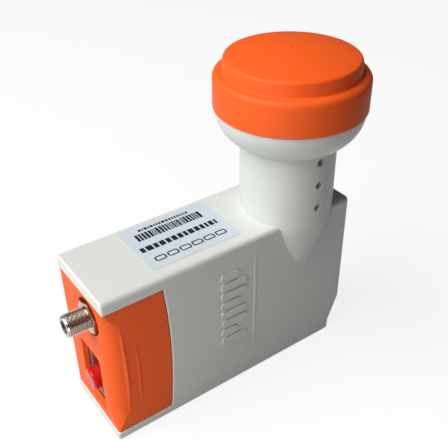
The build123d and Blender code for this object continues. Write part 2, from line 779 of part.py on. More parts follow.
def make_chassis():
    """Die-cast tray with the waveguide, the connectors' end wall and the port's pocket."""
    tray = block((chassis_x, chassis_toe_x), (chassis_y, rim_y), (chassis_z, chassis_top))
    tray = fillet(tray.edges().filter_by(Axis.Y), chassis_round) & inside_cover(chassis_end_gap)
    tray -= block((chassis_x + chassis_end_wall, chassis_toe_x - chassis_wall),
                  (chassis_y + chassis_wall, rim_y + past),
                  (chassis_z + chassis_wall, chassis_top - chassis_wall))
    half_width = port_flange_width / 2 + pocket_gap
    half_height = port_flange_height / 2 + pocket_gap
    tray += block((chassis_x, port_seat_x + pocket_wall),
                  (port_y - half_width - pocket_wall, port_y + half_width + pocket_wall),
                  (port_z - half_height - pocket_wall, port_z + half_height + pocket_wall))
    for x, z in lid_screw_places():
        tray += rod((x, chassis_y, z), (x, rim_y, z), lid_boss)
    for x, z in board_screw_places():
        tray += rod((x, chassis_y, z), (x, board_y, z), board_post)
    pillar_top = base_counterbore + base_screw_length + chassis_wall
    for x, y in base_screw_places():
        tray += rod((x, y, chassis_z), (x, y, pillar_top), base_pillar)
    solid = tray + horn_form() - horn_bore()
    solid -= block((chassis_x - past, port_seat_x), (port_y - half_width, port_y + half_width),
                   (port_z - half_height, port_z + half_height))
    solid -= rod((chassis_x - past, port_y, port_z), (port_seat_x + pocket_wall + past, port_y, port_z),
                 port_body_diameter + 2 * slip)
    for side in (-1, 1):
        height = port_z + side * port_screw_pitch / 2
        solid -= rod((chassis_x - past, port_y, height), (port_seat_x + port_screw_length, port_y, height),
                     port_screw_diameter + slip)
    solid -= rod((chassis_x - past, f_y, f_z), (chassis_x + chassis_end_wall + past, f_y, f_z),
                 f_thread + slip)
    for x, z in lid_screw_places():
        solid -= rod((x, rim_y - lid_screw_length, z), (x, rim_y + past, z), lid_screw_diameter + slip)
    for x, z in board_screw_places():
        solid -= rod((x, board_y - board_screw_length, z), (x, board_y + past, z),
                     board_screw_diameter + slip)
    for x, y in base_screw_places():
        solid -= rod((x, y, chassis_z - past), (x, y, base_counterbore + base_screw_length + slip),
                     base_screw_diameter + slip)
    solid -= rod((-guide_outer - past, f_y, lower_probe_z), (0, f_y, lower_probe_z), bush_diameter + slip)
    solid -= rod((0, 0, upper_probe_z), (0, guide_outer + past, upper_probe_z), bush_diameter + slip)
    bar_end = guide_outer + past
    return solid - rod((0, -bar_end, isolation_bar_z), (0, bar_end, isolation_bar_z),
                       isolation_bar_diameter + slip)


def lid_outline(y0, y1):
    """The chassis rim's outer shape as a plate."""
    plate = block((chassis_x, chassis_toe_x), (y0, y1), (chassis_z, chassis_top))
    return fillet(plate.edges().filter_by(Axis.Y), chassis_round) & inside_cover(chassis_end_gap)


def make_chassis_gasket():
    """Gasket that follows the rim and its screw bosses."""
    ring = lid_outline(rim_y, lid_y)
    ring -= block((chassis_x + chassis_end_wall, chassis_toe_x - chassis_wall), (rim_y - past, lid_y + past),
                  (chassis_z + chassis_wall, chassis_top - chassis_wall))
    for x, z in lid_screw_places():
        ring += rod((x, rim_y, z), (x, lid_y, z), lid_boss)
        ring -= rod((x, rim_y - past, z), (x, lid_y + past, z), lid_screw_diameter + 2 * slip)
    return ring


def make_chassis_lid():
    plate = lid_outline(lid_y, lid_y + lid_thickness)
    for x, z in lid_screw_places():
        plate -= rod((x, lid_y - past, z), (x, lid_y + lid_thickness + past, z),
                     lid_screw_diameter + 2 * slip)
    return plate


def make_lid_screws():
    return Compound([
        screw((x, lid_y + lid_thickness, z), (0, -1, 0), lid_screw_diameter, lid_screw_length,
              lid_screw_head, lid_screw_head_height) for x, z in lid_screw_places()])


def make_scalar_ring():
    """Ring of concentric walls round the horn's mouth, seated on the neck's spigot and the bell's collar."""
    inner = horn_outer + slip
    outer = bowl_inside(spigot_z) - slip
    pitch = (outer - inner - scalar_wall) / scalar_ring_count
    floor_z = spigot_z + scalar_floor
    solid = turned([(inner, spigot_z), (outer, spigot_z), (outer, floor_z), (inner, floor_z)])
    for index in range(scalar_ring_count + 1):
        start = inner + index * pitch
        solid += turned([
            (start, spigot_z), (start + scalar_wall, spigot_z),
            (start + scalar_wall, spigot_z + scalar_height), (start, spigot_z + scalar_height)])
    return solid


def make_rf_board():
    """Circuit board with a notch for the laser and cut-outs round the screw bosses."""
    board = block((board_x, board_toe_x), (board_y, board_back_y), (board_z, board_top))
    notch_top = port_z + port_flange_height / 2 + pocket_gap + pocket_wall + board_margin
    board -= block((board_x - past, notch_x), (board_y - past, board_back_y + past),
                   (board_z - past, notch_top))
    for x, z in lid_screw_places():
        board -= rod((x, board_y - past, z), (x, board_back_y + past, z), lid_boss + board_margin)
    for x, z in board_screw_places():
        board -= rod((x, board_y - past, z), (x, board_back_y + past, z), board_screw_diameter + 2 * slip)
    return board


def make_board_screws():
    return Compound([
        screw((x, board_back_y, z), (0, -1, 0), board_screw_diameter, board_screw_length - board_thickness,
              board_screw_head, board_screw_head_height) for x, z in board_screw_places()])


def make_lower_probe():
    """Straight pin from the board into the waveguide."""
    return rod((board_toe_x - probe_tail, lower_probe_y, lower_probe_z),
               (probe_reach - guide_radius, lower_probe_y, lower_probe_z), probe_diameter)


def make_upper_probe():
    """Bent pin that rises from the board, runs past the waveguide and turns into it."""
    start_x = board_toe_x - probe_tail
    path = FilletPolyline(
        (start_x, board_back_y, upper_probe_z), (start_x, upper_run_y, upper_probe_z),
        (0, upper_run_y, upper_probe_z), (0, guide_radius - probe_reach, upper_probe_z),
        radius=2 * probe_diameter)
    return sweep(Plane(origin=path @ 0, z_dir=path % 0) * Circle(probe_diameter / 2), path=path)


def make_probe_bushes():
    bore = probe_diameter + slip
    lower = rod((-guide_outer, f_y, lower_probe_z), (-guide_radius, f_y, lower_probe_z), bush_diameter)
    lower -= rod((-guide_outer - past, lower_probe_y, lower_probe_z), (0, lower_probe_y, lower_probe_z), bore)
    upper = rod((0, guide_radius, upper_probe_z), (0, guide_outer, upper_probe_z), bush_diameter)
    upper -= rod((0, 0, upper_probe_z), (0, guide_outer + past, upper_probe_z), bore)
    return Compound([lower, upper])


def make_isolation_bar():
    return rod((0, -guide_outer, isolation_bar_z), (0, guide_outer, isolation_bar_z), isolation_bar_diameter)


def component_middle():
    """Middle of the board's clear area above the notch."""
    return ((board_x + board_toe_x) / 2, (port_z + board_top) / 2 + board_margin)


def make_shield_can():
    x, z = component_middle()
    outer = block((x - shield_length / 2, x + shield_length / 2),
                  (board_back_y, board_back_y + shield_height), (z - shield_width / 2, z + shield_width / 2))
    outer = fillet(outer.edges().filter_by(Axis.Y), shield_corner)
    return outer - block(
        (x - shield_length / 2 + shield_sheet, x + shield_length / 2 - shield_sheet),
        (board_back_y - past, board_back_y + shield_height - shield_sheet),
        (z - shield_width / 2 + shield_sheet, z + shield_width / 2 - shield_sheet))


def make_reference_crystal():
    x, z = component_middle()
    x += shield_length / 2 + crystal_width
    body = block((x - crystal_width / 2, x + crystal_width / 2),
                 (board_back_y, board_back_y + crystal_height),
                 (z - crystal_length / 2, z + crystal_length / 2))
    return fillet(body.edges().filter_by(Axis.Y), crystal_round)


def make_voltage_regulator():
    """Moulded package with its metal tab flat on the board."""
    x, z = component_middle()
    x -= shield_length / 2 + regulator_length
    body = block((x - regulator_width / 2, x + regulator_width / 2),
                 (board_back_y, board_back_y + regulator_height),
                 (z - regulator_length / 2, z + regulator_length / 2))
    tab = block((x - regulator_width / 2, x + regulator_width / 2),
                (board_back_y, board_back_y + regulator_tab_thickness),
                (z + regulator_length / 2, z + regulator_length / 2 + regulator_tab_length))
    return body + tab


def make_label():
    centre_x = -label_from_neck - label_length / 2
    centre_y = far_y - label_from_far_edge - label_width / 2
    film = RectangleRounded(label_length, label_width, label_corner)
    return Pos(centre_x, centre_y, case_height) * extrude(film, amount=label_thickness)


pieces = {
    "main_housing": make_main_housing,
    "head_bell": make_head_bell,
    "feed_cap": make_feed_cap,
    "feed_cap_seal": make_feed_cap_seal,
    "scalar_ring": make_scalar_ring,
    "end_cover": make_end_cover,
    "base_cover": make_base_cover,
    "base_screws": make_base_screws,
    "label": make_label,
    "f_connector_body": make_f_connector_body,
    "f_connector_insulator": make_f_connector_insulator,
    "f_connector_contact": make_f_connector_contact,
    "f_connector_seal": make_f_connector_seal,
    "optical_receptacle": make_optical_receptacle,
    "receptacle_screws": make_receptacle_screws,
    "alignment_sleeve": make_alignment_sleeve,
    "laser_diode": make_laser_diode,
    "dust_cap": make_dust_cap,
    "chassis": make_chassis,
    "chassis_gasket": make_chassis_gasket,
    "chassis_lid": make_chassis_lid,
    "lid_screws": make_lid_screws,
    "rf_board": make_rf_board,
    "board_screws": make_board_screws,
    "vertical_probe": make_lower_probe,
    "horizontal_probe": make_upper_probe,
    "probe_bushes": make_probe_bushes,
    "isolation_bar": make_isolation_bar,
    "shield_can": make_shield_can,
    "reference_crystal": make_reference_crystal,
    "voltage_regulator": make_voltage_regulator,
}

os.makedirs("parts", exist_ok=True)
for name, make in pieces.items():
    export_step(make(), f"parts/{name}.step")
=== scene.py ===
import json
import math

import bmesh
import bpy
from mathutils import Matrix, Vector


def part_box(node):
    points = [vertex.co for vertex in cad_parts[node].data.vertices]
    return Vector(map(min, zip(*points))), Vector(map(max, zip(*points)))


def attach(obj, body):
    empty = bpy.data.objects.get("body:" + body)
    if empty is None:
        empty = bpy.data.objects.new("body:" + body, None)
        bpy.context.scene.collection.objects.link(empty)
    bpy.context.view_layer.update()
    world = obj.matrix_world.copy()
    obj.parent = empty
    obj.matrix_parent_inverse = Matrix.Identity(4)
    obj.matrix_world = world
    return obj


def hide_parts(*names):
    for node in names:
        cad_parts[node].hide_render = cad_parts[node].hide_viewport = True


# Satellite LNB with an optical output, dressed on its CAD frame. Metres, +Z up, -X the connector end.

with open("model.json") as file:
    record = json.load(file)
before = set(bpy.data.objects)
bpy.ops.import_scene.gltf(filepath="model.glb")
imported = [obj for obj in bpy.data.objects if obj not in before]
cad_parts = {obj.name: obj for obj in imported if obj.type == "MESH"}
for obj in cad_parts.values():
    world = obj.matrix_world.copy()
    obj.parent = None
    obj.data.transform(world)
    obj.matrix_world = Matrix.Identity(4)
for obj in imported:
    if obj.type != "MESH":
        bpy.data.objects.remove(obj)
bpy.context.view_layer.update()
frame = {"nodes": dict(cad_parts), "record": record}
cad = frame["nodes"]
MM = 0.001

# Camera, from edges measured in the photograph
CAMERA_PLACE = Vector((-164.964, -189.059, 237.188)) * MM
CAMERA_AZIMUTH = math.radians(-34.957)
CAMERA_ELEVATION = math.radians(34.910)
CAMERA_ROLL = math.radians(-0.703)
CAMERA_LENS = 54.92
CAMERA_SENSOR = 36.0
CAMERA_CLIP = 10 * MM

# Stage. The soft side is the one from which the room lights the object.
WHITE = (1.0, 1.0, 1.0, 1.0)
WHITE_STRENGTH = 1.0                        # strength at which a white background is just white
FLOOR_SIZE = 1.8
FLOOR_DROP = 0.02 * MM
FLOOR_SHADE = 0.15                          # share of the lit floor in what the camera sees
FLOOR_ROUGHNESS = 0.9
FLOOR_BOUNCE = (0.02, 0.54)                 # light that the floor sends back on the far and on the soft side
FLOOR_FADE = 0.20                           # distance from the neck at which each of the two is reached
SOFT_SIDE = Vector((-0.85, -0.40, 0.30))
SOFT_LIGHT = (0.01, 0.12)                   # room light from the far and from the soft side
SOFT_SPAN = (-0.5, 0.9)                     # cosines to the soft side between which it rises
BRIGHT_SIDE = Vector((-0.30, 0.20, 0.93))   # where reflections find the room bright
BRIGHT_LIGHT = (0.10, 1.0)                  # room in reflections, away from and at the bright side
BRIGHT_SPAN = (0.55, 0.85)                  # cosines to the bright side between which it rises
KEY_POWER = 14.2
KEY_SIZE = 1.0
KEY_DIRECTION = Vector((-0.62, 0.14, 0.77))
KEY_DISTANCE = 1.0
FILL_POWER = 0.12
FILL_SIZE = 0.14
FILL_DIRECTION = Vector((-0.80, -0.58, -0.14))
FILL_DISTANCE = 0.25                        # near, so that its light falls off along the case
LIGHT_TARGET = Vector((-30, 0, 75)) * MM

# Edges and seams of meshes
SMOOTH_ANGLE = math.radians(32)             # sharper edges stay crisp
COVER_ANGLE = math.radians(45)              # lets the corner round of the end cover run out softly
FLAT_WEIGHT = 100                           # pull of large faces on the normals of the rounds beside them
ROUND_STEPS = 7
WELD = 0.0005 * MM
FINE_WELD = 0.00005 * MM

# Feed cap and bell
TURN_SEGMENTS = 192
CAP_WALL = 1.6 * MM
CAP_SKIRT = 14.4 * MM
CAP_SHOULDER_ROUND = 2.6 * MM
CAP_INNER_SHOULDER_ROUND = 1.2 * MM
CAP_STEP = 3.7 * MM
CAP_STEP_ROUND = 0.6 * MM
CAP_TIER_HEIGHT = 5.6 * MM
CAP_TIER_DRAFT = 0.5 * MM
CAP_TIER_ROUND = 1.5 * MM
CAP_INNER_TIER_ROUND = 0.7 * MM
CAP_CROWN = 3.2 * MM
CAP_DOME = 0.93                             # dome's radius as a share of its rim's, with room for the round
CAP_INNER_DOME = 0.90
CAP_FOOT_ROUND = 0.45 * MM
GATE_RADIUS = 0.7 * MM
GATE_DEPTH = 0.25 * MM
CROWN_STEPS = 20
BELL_WALL = 2.2 * MM
BELL_LIP = 0.8 * MM
BELL_LIP_RADIUS = 20.4 * MM
BELL_LIP_ROUND = 0.25 * MM
BELL_COLLAR = 18.7 * MM
BELL_RIM_RADIUS = 29.3 * MM
BELL_RIM_WALL = 2.8 * MM
BELL_STEPS = 28
SEAL_DEPTH = 1.3 * MM
SEAL_GROOVE = 1.5 * MM
SEAL_LIFT = 3.6 * MM

# Power connector
THREAD_PITCH = 25.4 / 32 * MM
THREAD_DEPTH = 0.48 * MM
THREAD_FLAT = 0.1875                        # share of the pitch that is flat, on the crest and in the valley
THREAD_FADE = 0.7 * MM
THREAD_STEP = 0.055 * MM
THREAD_SEGMENTS = 96
CONNECTOR_RADIUS = 4.7 * MM
CONNECTOR_BORE = 2.7 * MM
CONNECTOR_CHAMFER = 0.5 * MM
CONNECTOR_REACH = 9.1 * MM
HEX_WIDTH = 12.6 * MM
HEX_TURN = math.radians(10)
HEX_CHAMFER = math.radians(28)
HEX_FACE = 0.985                            # radius of the hex's round faces as a share of half its width
SIXTH_TURN = math.pi / 3

# Dust cap
DUST_CAP_SEGMENTS = 96
DUST_CAP_END = 0.9 * MM
DUST_CAP_BORE = 4.05 * MM
DUST_CAP_RADIUS = 4.7 * MM
DUST_CAP_ROUND = 1.0 * MM
DUST_CAP_DISH = 0.25 * MM
DUST_CAP_DISH_RADIUS = 3.1 * MM
DUST_CAP_LIP = 1.4 * MM
DUST_CAP_LIP_ROUND = 0.2 * MM
DUST_CAP_NECK_ROUND = 0.25 * MM             # where the barrel meets the lip
DUST_CAP_MOUTH_ROUND = 0.15 * MM
DUST_CAP_FLOOR_ROUND = 0.2 * MM

# Base screws
SCREW_SEGMENTS = 48
SCREW_HEAD_RADIUS = 2.8 * MM
SCREW_HEAD_HEIGHT = 1.8 * MM
SCREW_HEAD_ROUND = 0.7 * MM
SCREW_SEAT_ROUND = 0.1 * MM
SCREW_SHANK_RADIUS = 1.5 * MM
SCREW_TIP_ROUND = 0.3 * MM
CROSS_REACH = 1.45 * MM
CROSS_WIDTH = 0.42 * MM
CROSS_DEPTH = 1.2 * MM
CROSS_PAST = 0.18 * MM                      # how far its cutter stands out of the head
CROSS_TAPER = 0.55

# Print on the label, in millimetres: left end and near edge of each row, then the sizes of its dashes
PRINT_ROWS = (
    ((5.0, 19.1), {"Length": 31.4, "Height": 4.8, "Shortest": 0.25, "Longest": 1.3, "Gap": 0.42}),
    ((8.2, 25.1), {"Length": 25.0, "Height": 1.5, "Shortest": 0.5, "Longest": 1.5, "Gap": 0.45}),
    ((2.4, 11.7), {"Length": 38.0, "Height": 3.2, "Shortest": 0.9, "Longest": 2.8, "Gap": 0.7}),
)
PRINT_BOX = {"Width": 4.3, "Height": 2.5, "Corner": 0.7, "Stroke": 0.65}   # in millimetres too
PRINT_BOX_COUNT = 6
PRINT_BOX_PITCH = 5.7 * MM
PRINT_BOX_NEAR = 5.4 * MM
PRINT_THICKNESS = 0.02 * MM
PRINT_SUPPLY = 80                           # dashes drawn for a row, of which those that fit stay
PRINT_SEED = 3                              # seed of the first row
BLOCK_STEPS = 6                             # steps of a block's rounded corner
STROKE_STEPS = 3                            # steps of a stroke's rounded edge
STROKE_ROUND = 0.6                          # radius of that edge as a share of the stroke's rise

# Sides of the case
NEAR_SIDE = -14.1 * MM
FAR_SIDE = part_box("main_housing")[1].y

# Raised bars on the near side
RELIEF_LEFT = -44.3 * MM
RELIEF_LOW = 25.0 * MM
RELIEF_WIDTHS = (12.6, 7.6, 12.6, 12.6, 9.8, 12.6, 12.6, 8.6)   # from the lowest up, in millimetres
RELIEF_HEIGHT = 3.5 * MM
RELIEF_PITCH = 5.0 * MM
RELIEF_RISE = 0.6 * MM
RELIEF_CORNER = 1.1 * MM
UPRIGHT = (math.pi / 2, 0, 0)               # turn from lying flat to standing on a side

# Fine ribs down both sides, in millimetres: place along the case, two ends, bow, width and rise
CASE_RIB = {"x": -26.85, "low": 13.0, "high": 67.0, "bow": 0.4, "width": 1.4, "rise": 0.26}
COVER_RIB = {"x": -84.3, "low": 15.5, "high": 48.5, "bow": 0.4, "width": 1.2, "rise": 0.35}
COVER_RECESS = 0.4 * MM                     # how far the end cover lies below the case's outside
RIB_STEPS = 40
RIB_ARC_STEPS = 8

# CAD nodes that keep their form, each as a copy with smooth rounds
SMOOTH_NODES = (
    "main_housing", "end_cover", "base_cover", "chassis", "optical_receptacle", "receptacle_screws",
    "f_connector_insulator", "f_connector_contact", "f_connector_seal", "label")

# Finishes: display colour and roughness, and what differs from the plain moulding of make_finish
FINISHES = {
    "white_plastic": {"colour": (218, 221, 215), "roughness": 0.42, "specular": 0.4},
    "orange_plastic": {"colour": (253, 98, 30), "roughness": 0.54, "specular": 0.25},
    "red_plastic": {"colour": (205, 20, 24), "roughness": 0.26, "height": 0.002, "coating": 0.15},
    "nickel": {"colour": (186, 178, 166), "roughness": 0.20, "drift": 0.08, "spread": 0.06, "grain": 900,
               "height": 0.001, "metallic": 1.0},
    "cast_aluminium": {"colour": (190, 194, 200), "roughness": 0.48, "drift": 0.12, "grain": 700,
                       "height": 0.015, "metallic": 1.0},
    "screw_steel": {"colour": (176, 176, 172), "roughness": 0.34, "drift": 0.1, "metallic": 1.0},
    "tinned_sheet": {"colour": (198, 198, 196), "roughness": 0.30, "drift": 0.1, "metallic": 1.0},
    "black_rubber": {"colour": (34, 34, 34), "roughness": 0.65, "grain": 1200, "height": 0.01},
    "dark_plastic": {"colour": (38, 34, 30), "roughness": 0.5},
    "pale_plastic": {"colour": (232, 229, 218), "roughness": 0.5},
    "contact_brass": {"colour": (204, 168, 96), "roughness": 0.28, "drift": 0.12, "metallic": 1.0},
    "circuit_board": {"colour": (28, 110, 66), "roughness": 0.38, "drift": 0.2, "drift_scale": 200},
    "white_ceramic": {"colour": (238, 234, 224), "roughness": 0.3},
    "label_film": {"colour": (205, 215, 224), "roughness": 0.34, "drift": 0.03, "height": 0.001},
    "print_ink": {"colour": (22, 25, 32), "roughness": 0.46, "drift": 0.2, "drift_scale": 400},
}

# Sockets and noise of node trees
FLOAT = "NodeSocketFloat"
WHOLE = "NodeSocketInt"
VECTOR = "NodeSocketVector"
COLOUR = "NodeSocketColor"
OBJECT = "NodeSocketObject"
MATERIAL = "NodeSocketMaterial"
GEOMETRY = "NodeSocketGeometry"
DRIFT_DETAIL = 3
GRAIN_DETAIL = 2
NOISE_MIDDLE = 0.5


# Numbers
def in_metres(sizes):
    """A table of sizes in millimetres, turned into metres."""
    return {name: size * MM for name, size in sizes.items()}


def spaced(start, end, steps):
    """Evenly spaced values from start to end, both included."""
    return [start + (end - start) * index / steps for index in range(steps + 1)]


def clamp(share):
    """A share that is held between nought and one."""
    return min(1.0, max(0.0, share))


# Meshes
def link(obj):
    """Puts an object in the scene."""
    bpy.context.scene.collection.objects.link(obj)
    return obj


def weld(bm, distance):
    """Merges points that lie together, and drops the faces that vanish with them."""
    bmesh.ops.remove_doubles(bm, verts=bm.verts, dist=distance)
    bmesh.ops.dissolve_degenerate(bm, edges=bm.edges, dist=distance)


def bridge(bm, ring, following):
    """Faces between two closed rings with as many points each."""
    for step in range(len(ring)):
        bm.faces.new((ring[step - 1], ring[step], following[step], following[step - 1]))


def object_from_bmesh(name, bm, angle=SMOOTH_ANGLE):
    """A smooth-shaded object, with edges sharper than the angle left crisp."""
    for face in bm.faces:
        face.smooth = True
    for edge in bm.edges:
        edge.smooth = edge.calc_face_angle(0) < angle
    mesh = bpy.data.meshes.new(name)
    bm.to_mesh(mesh)
    bm.free()
    if mesh.has_custom_normals:
        mesh.attributes.remove(mesh.attributes["custom_normal"])
    return link(bpy.data.objects.new(name, mesh))


def apply_modifiers(obj):
    """Turns an object with live modifiers into a plain mesh."""
    graph = bpy.context.evaluated_depsgraph_get()
    mesh = bpy.data.meshes.new_from_object(obj.evaluated_get(graph))
    obj.modifiers.clear()
    old = obj.data
    obj.data = mesh
    bpy.data.meshes.remove(old)
    return obj


def smooth_copy(node, name, angle):
    """A welded copy of a CAD node whose flat faces stay flat beside its rounded edges."""
    bm = bmesh.new()
    bm.from_mesh(cad[node].data)
    weld(bm, WELD)
    obj = object_from_bmesh(name, bm, angle)
    weighted = obj.modifiers.new("weighted", "WEIGHTED_NORMAL")
    weighted.keep_sharp = True
    weighted.weight = FLAT_WEIGHT
    return apply_modifiers(obj)


def join_pieces(name, pieces):
    """One smooth-shaded object from several, which are removed."""
    bm = bmesh.new()
    for piece in pieces:
        bm.from_mesh(piece.data)
        bpy.data.objects.remove(piece)
    return object_from_bmesh(name, bm)


def round_corners(corners):
    """Outline through (along, radius, round) corners, each rounded by an arc."""
    outline = []
    for index, (along, across, radius) in enumerate(corners):
        corner = Vector((along, across))
        if not radius:
            outline.append(corner)
            continue
        before = Vector(corners[index - 1][:2]) - corner
        after = Vector(corners[(index + 1) % len(corners)][:2]) - corner
        before.normalize()
        after.normalize()
        half = before.angle(after) / 2
        reach = radius / math.tan(half)
        middle = corner + (before + after).normalized() * (radius / math.sin(half))
        start = corner + before * reach - middle
        turn = (corner + after * reach - middle).angle_signed(start)
        for angle in spaced(0, turn, ROUND_STEPS):
            arm = start.copy()
            arm.rotate(Matrix.Rotation(angle, 2))
            outline.append(middle + arm)
    return [tuple(point) for point in outline]


def lathe(name, outline_at, segments, place):
    """Turned mesh. outline_at(angle) gives a closed outline of (along, radius) pairs, and
    place(along, radius, angle) puts a point of it in the frame."""
    bm = bmesh.new()
    rings = []
    for index in range(segments):
        angle = 2 * math.pi * index / segments
        rings.append([bm.verts.new(place(along, radius, angle)) for along, radius in outline_at(angle)])
    for index, ring in enumerate(rings):
        bridge(bm, ring, rings[(index + 1) % segments])
    weld(bm, FINE_WELD)
    bmesh.ops.recalc_face_normals(bm, faces=bm.faces)
    return object_from_bmesh(name, bm)


def lathe_round(name, corners, segments, place):
    """Turned mesh with the same outline all round, through (along, radius, round) corners."""
    outline = round_corners(corners)
    return lathe(name, lambda angle: outline, segments, place)


def on_neck(height, radius, angle):
    """A point about the neck's axis."""
    return Vector((radius * math.cos(angle), radius * math.sin(angle), height))


def about(node):
    """The placing function for a piece turned about the axis of a CAD node that lies along X."""
    low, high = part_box(node)
    middle = (low + high) / 2

    def place(along, radius, angle):
        return Vector((along, middle.y + radius * math.cos(angle), middle.z + radius * math.sin(angle)))
    return place


# Node trees
def find_socket(sockets, key):
    """The socket at an index, or the one in use that has a name."""
    if isinstance(key, int):
        return sockets[key]
    return next(socket for socket in sockets if socket.name == key and socket.enabled)


def feed(tree, node, inputs):
    """Links a node's inputs, where their values are sockets, and sets the others."""
    for key, value in inputs.items():
        socket = find_socket(node.inputs, key)
        if isinstance(value, bpy.types.NodeSocket):
            tree.links.new(value, socket)
        else:
            socket.default_value = value


def add_node(tree, kind, inputs, out=0, **settings):
    """Adds a node with its settings and inputs, and gives back one of its outputs, by name or index."""
    node = tree.nodes.new(kind)
    for name, value in settings.items():
        setattr(node, name, value)
    feed(tree, node, inputs)
    return find_socket(node.outputs, out)


def add_math(tree, operation, first, second):
    """The result of an operation on two sockets or numbers."""
    return add_node(tree, "ShaderNodeMath", {0: first, 1: second}, operation=operation)


def add_swing(tree, noise, reach, middle):
    """A value about a middle that noise swings up and down."""
    swing = add_math(tree, "SUBTRACT", noise, NOISE_MIDDLE)
    return add_math(tree, "ADD", add_math(tree, "MULTIPLY", swing, reach), middle)


def add_noise(tree, vector, scale, detail):
    """Noise from nought to one."""
    return add_node(tree, "ShaderNodeTexNoise", {
        "Vector": vector, "Scale": scale, "Detail": detail}, out="Fac")


def add_grade(tree, vector, side, span, levels):
    """A value that goes from one level to the other as the vector's reach to a side crosses a span."""
    reach = add_node(tree, "ShaderNodeVectorMath", {0: vector, 1: side.normalized()}, out="Value",
                     operation="DOT_PRODUCT")
    return add_node(tree, "ShaderNodeMapRange", {
        "Value": reach, "From Min": span[0], "From Max": span[1], "To Min": levels[0], "To Max": levels[1]})


def add_mirrored(tree, path):
    """One for a ray that comes by way of a gloss or through glass, and nought for any other."""
    return add_math(tree, "MAXIMUM", path["Is Glossy Ray"], path["Is Transmission Ray"])


def node_group(name, kind, inputs, outputs):
    """An empty node tree with named sockets, its given values and its output node."""
    tree = bpy.data.node_groups.new(name, kind)
    for in_out, sockets in (("INPUT", inputs), ("OUTPUT", outputs)):
        for socket, socket_kind in sockets.items():
            tree.interface.new_socket(socket, in_out=in_out, socket_type=socket_kind)
    return tree, tree.nodes.new("NodeGroupInput").outputs, tree.nodes.new("NodeGroupOutput")


# Finishes
def make_moulded_group():
    """Moulded surface: a slow drift of colour, uneven sheen and a fine grain."""
    group, given, result = node_group(
        "moulded_surface", "ShaderNodeTree",
        {"Colour": COLOUR, "Drift": FLOAT, "Drift Scale": FLOAT, "Roughness": FLOAT, "Sheen Spread": FLOAT,
         "Grain Scale": FLOAT, "Grain Height": FLOAT},
        {"Colour": COLOUR, "Roughness": FLOAT, "Normal": VECTOR})
    place = group.nodes.new("ShaderNodeTexCoord").outputs["Object"]
    drift = add_noise(group, place, given["Drift Scale"], DRIFT_DETAIL)
    grain = add_noise(group, place, given["Grain Scale"], GRAIN_DETAIL)
    tint = add_node(group, "ShaderNodeVectorMath", {
        "Vector": given["Colour"], "Scale": add_swing(group, drift, given["Drift"], 1.0)}, operation="SCALE")
    bump = add_node(group, "ShaderNodeBump", {"Height": grain, "Distance": given["Grain Height"]})
    feed(group, result, {
        "Colour": tint, "Normal": bump,
        "Roughness": add_swing(group, grain, given["Sheen Spread"], given["Roughness"])})
    return group


def srgb(red, green, blue):
    """Linear colour of an 8-bit display colour."""
    def linear(value):
        share = value / 255
        return share / 12.92 if share <= 0.04045 else ((share + 0.055) / 1.055) ** 2.4
    return (linear(red), linear(green), linear(blue), 1)


moulded = make_moulded_group()


def make_finish(name, colour, roughness, drift=0.06, drift_scale=30, spread=0.10, grain=1800, height=0.004,
                metallic=0.0, coating=0.0, specular=0.3):
    """A material of the moulded group. The height of its grain is in millimetres."""
    material = bpy.data.materials.new(name)
    material.use_nodes = True
    tree = material.node_tree
    surface = tree.nodes.new("ShaderNodeGroup")
    surface.node_tree = moulded
    feed(tree, surface, {
        "Colour": srgb(*colour), "Drift": drift, "Drift Scale": drift_scale, "Roughness": roughness,
        "Sheen Spread": spread, "Grain Scale": grain, "Grain Height": height * MM})
    feed(tree, tree.nodes["Principled BSDF"], {
        "Base Color": surface.outputs["Colour"], "Roughness": surface.outputs["Roughness"],
        "Normal": surface.outputs["Normal"], "Metallic": metallic, "Coat Weight": coating,
        "Specular IOR Level": specular})
    return material


finishes = {name: make_finish(name, **values) for name, values in FINISHES.items()}
node_slots = {part["node"]: part["material_slot"] for part in frame["record"]["subparts"]}


def coat(obj, finish):
    """Gives an object one material."""
    obj.data.materials.clear()
    obj.data.materials.append(finishes[finish])


def dress(obj, slot, *replaced, finish=None):
    """Gives a finished piece its material, which is the slot's own unless another finish is named,
    puts it on the root body and hides the CAD nodes that it stands for."""
    coat(obj, finish or slot)
    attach(obj, "root")
    if replaced:
        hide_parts(*replaced)


def finish_cad_nodes():
    """Gives every CAD node the material of its record slot."""
    for name, obj in cad.items():
        coat(obj, node_slots[name])


# Geometry trees
def geometry_tree(name, inputs):
    """An empty geometry tree with named inputs, its given values and its output node."""
    return node_group(name, "GeometryNodeTree", inputs, {"Geometry": GEOMETRY})


def close_tree(tree, geometry, material, result):
    """Ends a tree in real geometry with its material."""
    real = add_node(tree, "GeometryNodeRealizeInstances", {"Geometry": geometry})
    finished = add_node(tree, "GeometryNodeSetMaterial", {"Geometry": real, "Material": material})
    feed(tree, result, {"Geometry": finished})


def grow(name, tree, values):
    """A plain mesh object from a geometry tree whose inputs are set by name."""
    obj = link(bpy.data.objects.new(name, bpy.data.meshes.new(name)))
    modifier = obj.modifiers.new(name, "NODES")
    modifier.node_group = tree
    for item in tree.interface.items_tree:
        if item.in_out == "INPUT":
            modifier[item.identifier] = values[item.name]
    return apply_modifiers(obj)


def add_block(tree, width, height, corner, steps):
    """The outline of a block with rounded corners, as a curve."""
    block = add_node(tree, "GeometryNodeCurvePrimitiveQuadrilateral", {"Width": width, "Height": height})
    return add_node(tree, "GeometryNodeFilletCurve", {
        "Curve": block, "Count": steps, "Radius": corner}, mode="POLY")


